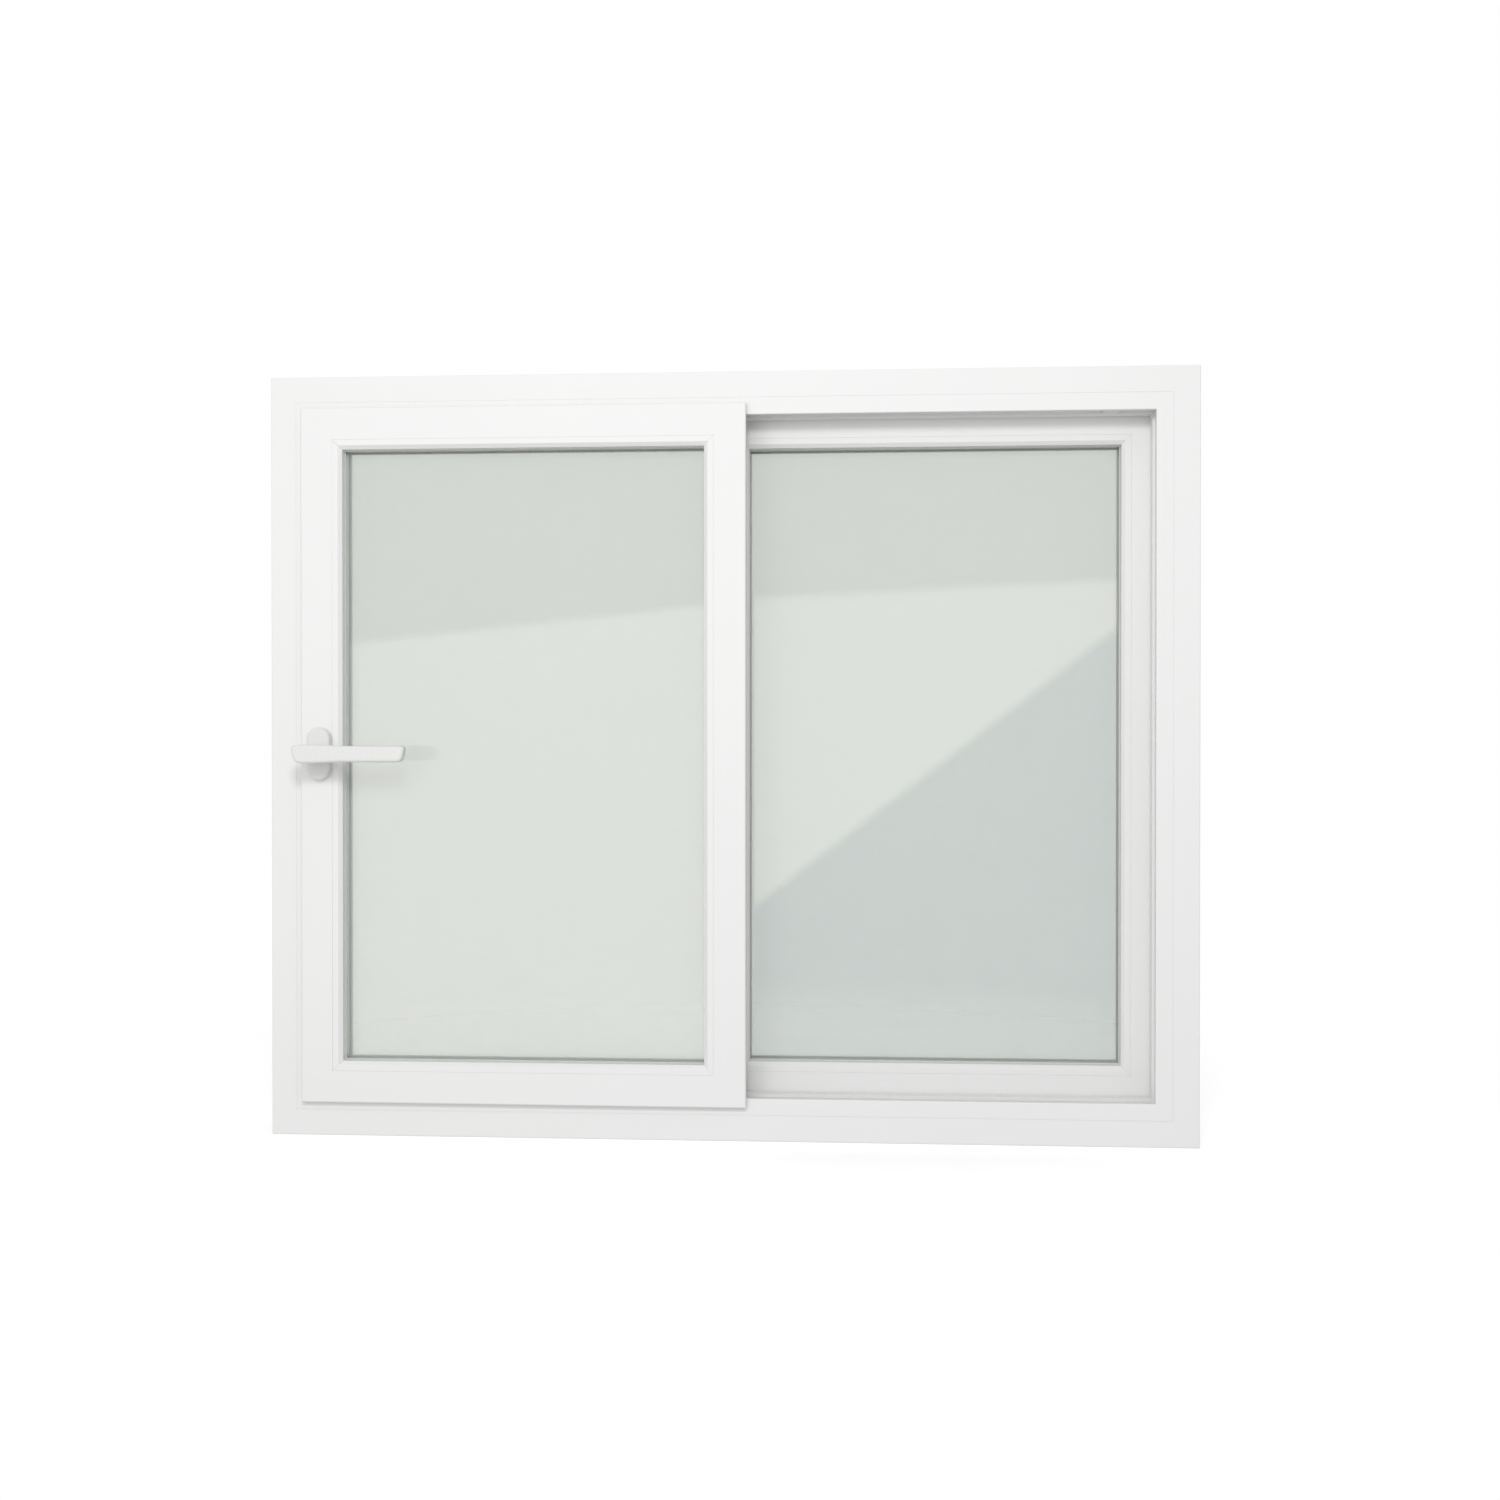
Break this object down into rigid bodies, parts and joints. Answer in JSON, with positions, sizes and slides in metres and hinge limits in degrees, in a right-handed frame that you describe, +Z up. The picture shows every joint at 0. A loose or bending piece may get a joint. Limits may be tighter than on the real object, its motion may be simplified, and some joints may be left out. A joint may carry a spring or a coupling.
{
  "type": "two-light sliding window",
  "caption": "White plastic window: a frame with a fixed right light set back and a left light that slides sideways in front of it, locked by a lever handle.",
  "frame": {"origin": "centre of the frame's bottom face, which stands on the wall opening's sill", "axes": "+X to the right seen from the room, the way the left light opens; +Y through the wall away from the room; +Z up"},
  "size_m": [1.21, 0.192, 1],
  "materials": {
    "white_profile": "smooth white rigid plastic",
    "white_handle": "smooth white paint",
    "zinc_steel": "bright zinc plate",
    "lock_metal": "zinc alloy",
    "bare_aluminium": "mill finish",
    "grey_rubber": "matt",
    "clear_glass": "clear float glass",
    "dark_nylon": "moulded",
    "wheel_nylon": "moulded"
  },
  "bodies": {
    "frame": {"frame_head": "white_profile", "frame_sill": "white_profile", "frame_left_jamb": "white_profile", "frame_right_jamb": "white_profile", "frame_steel_bars": "zinc_steel", "rear_covers": "white_profile", "rear_trims": "white_profile", "running_rail": "bare_aluminium", "strikers": "zinc_steel", "travel_stop": "wheel_nylon", "fixed_light_seal": "grey_rubber", "fixed_light_packers": "dark_nylon", "fixed_top_rail": "white_profile", "fixed_bottom_rail": "white_profile", "fixed_meeting_stile": "white_profile", "fixed_jamb_stile": "white_profile", "fixed_steel_bars": "zinc_steel", "fixed_beads": "white_profile", "fixed_inner_pane": "clear_glass", "fixed_outer_pane": "clear_glass", "fixed_spacer": "bare_aluminium", "fixed_front_gasket": "grey_rubber", "fixed_rear_gasket": "grey_rubber", "fixed_setting_blocks": "dark_nylon", "fixed_interlock": "white_profile"},
    "sash": {"sash_top_rail": "white_profile", "sash_bottom_rail": "white_profile", "sash_lock_stile": "white_profile", "sash_meeting_stile": "white_profile", "sash_steel_bars": "zinc_steel", "sash_beads": "white_profile", "sash_inner_pane": "clear_glass", "sash_outer_pane": "clear_glass", "sash_spacer": "bare_aluminium", "sash_front_gasket": "grey_rubber", "sash_rear_gasket": "grey_rubber", "sash_setting_blocks": "dark_nylon", "sash_seal": "grey_rubber", "sash_interlock": "white_profile", "carriages": "dark_nylon", "wheel_axles": "zinc_steel", "top_guides": "dark_nylon", "lock_faceplate": "zinc_steel", "faceplate_screws": "lock_metal", "gearbox": "lock_metal", "rose_base": "lock_metal", "rose_cover": "white_handle", "handle_screws": "lock_metal"},
    "handle": {"handle_lever": "white_handle", "spindle": "zinc_steel"},
    "drive_rod": {"drive_rod": "lock_metal", "locking_cams": "zinc_steel"},
    "wheel_1": {"wheel_1": "wheel_nylon"},
    "wheel_2": {"wheel_2": "wheel_nylon"},
    "wheel_3": {"wheel_3": "wheel_nylon"},
    "wheel_4": {"wheel_4": "wheel_nylon"}
  },
  "joints": [
    {"name": "sash_slide", "type": "slide", "parent": "frame", "child": "sash", "axis": [1, 0, 0], "range_m": [0, 0.53]},
    {"name": "handle_turn", "type": "hinge", "parent": "sash", "child": "handle", "pos_m": [-0.535, -0.095, 0.504], "axis": [0, 1, 0], "range_deg": [0, 90]},
    {"name": "drive_rod_slide", "type": "slide", "parent": "sash", "child": "drive_rod", "axis": [0, 0, 1], "range_m": [0, 0.018]},
    {"name": "wheel_1_spin", "type": "hinge", "parent": "sash", "child": "wheel_1", "pos_m": [-0.48, -0.04, 0.066], "axis": [0, 1, 0], "continuous": true},
    {"name": "wheel_2_spin", "type": "hinge", "parent": "sash", "child": "wheel_2", "pos_m": [-0.44, -0.04, 0.066], "axis": [0, 1, 0], "continuous": true},
    {"name": "wheel_3_spin", "type": "hinge", "parent": "sash", "child": "wheel_3", "pos_m": [-0.097, -0.04, 0.066], "axis": [0, 1, 0], "continuous": true},
    {"name": "wheel_4_spin", "type": "hinge", "parent": "sash", "child": "wheel_4", "pos_m": [-0.057, -0.04, 0.066], "axis": [0, 1, 0], "continuous": true}
  ],
  "couplings": [
    {"joint": "drive_rod_slide", "follows": "handle_turn", "m_per_rad": 0.011459},
    {"joint": "wheel_1_spin", "follows": "sash_slide", "rad_per_m": 83.333},
    {"joint": "wheel_2_spin", "follows": "sash_slide", "rad_per_m": 83.333},
    {"joint": "wheel_3_spin", "follows": "sash_slide", "rad_per_m": 83.333},
    {"joint": "wheel_4_spin", "follows": "sash_slide", "rad_per_m": 83.333}
  ]
}
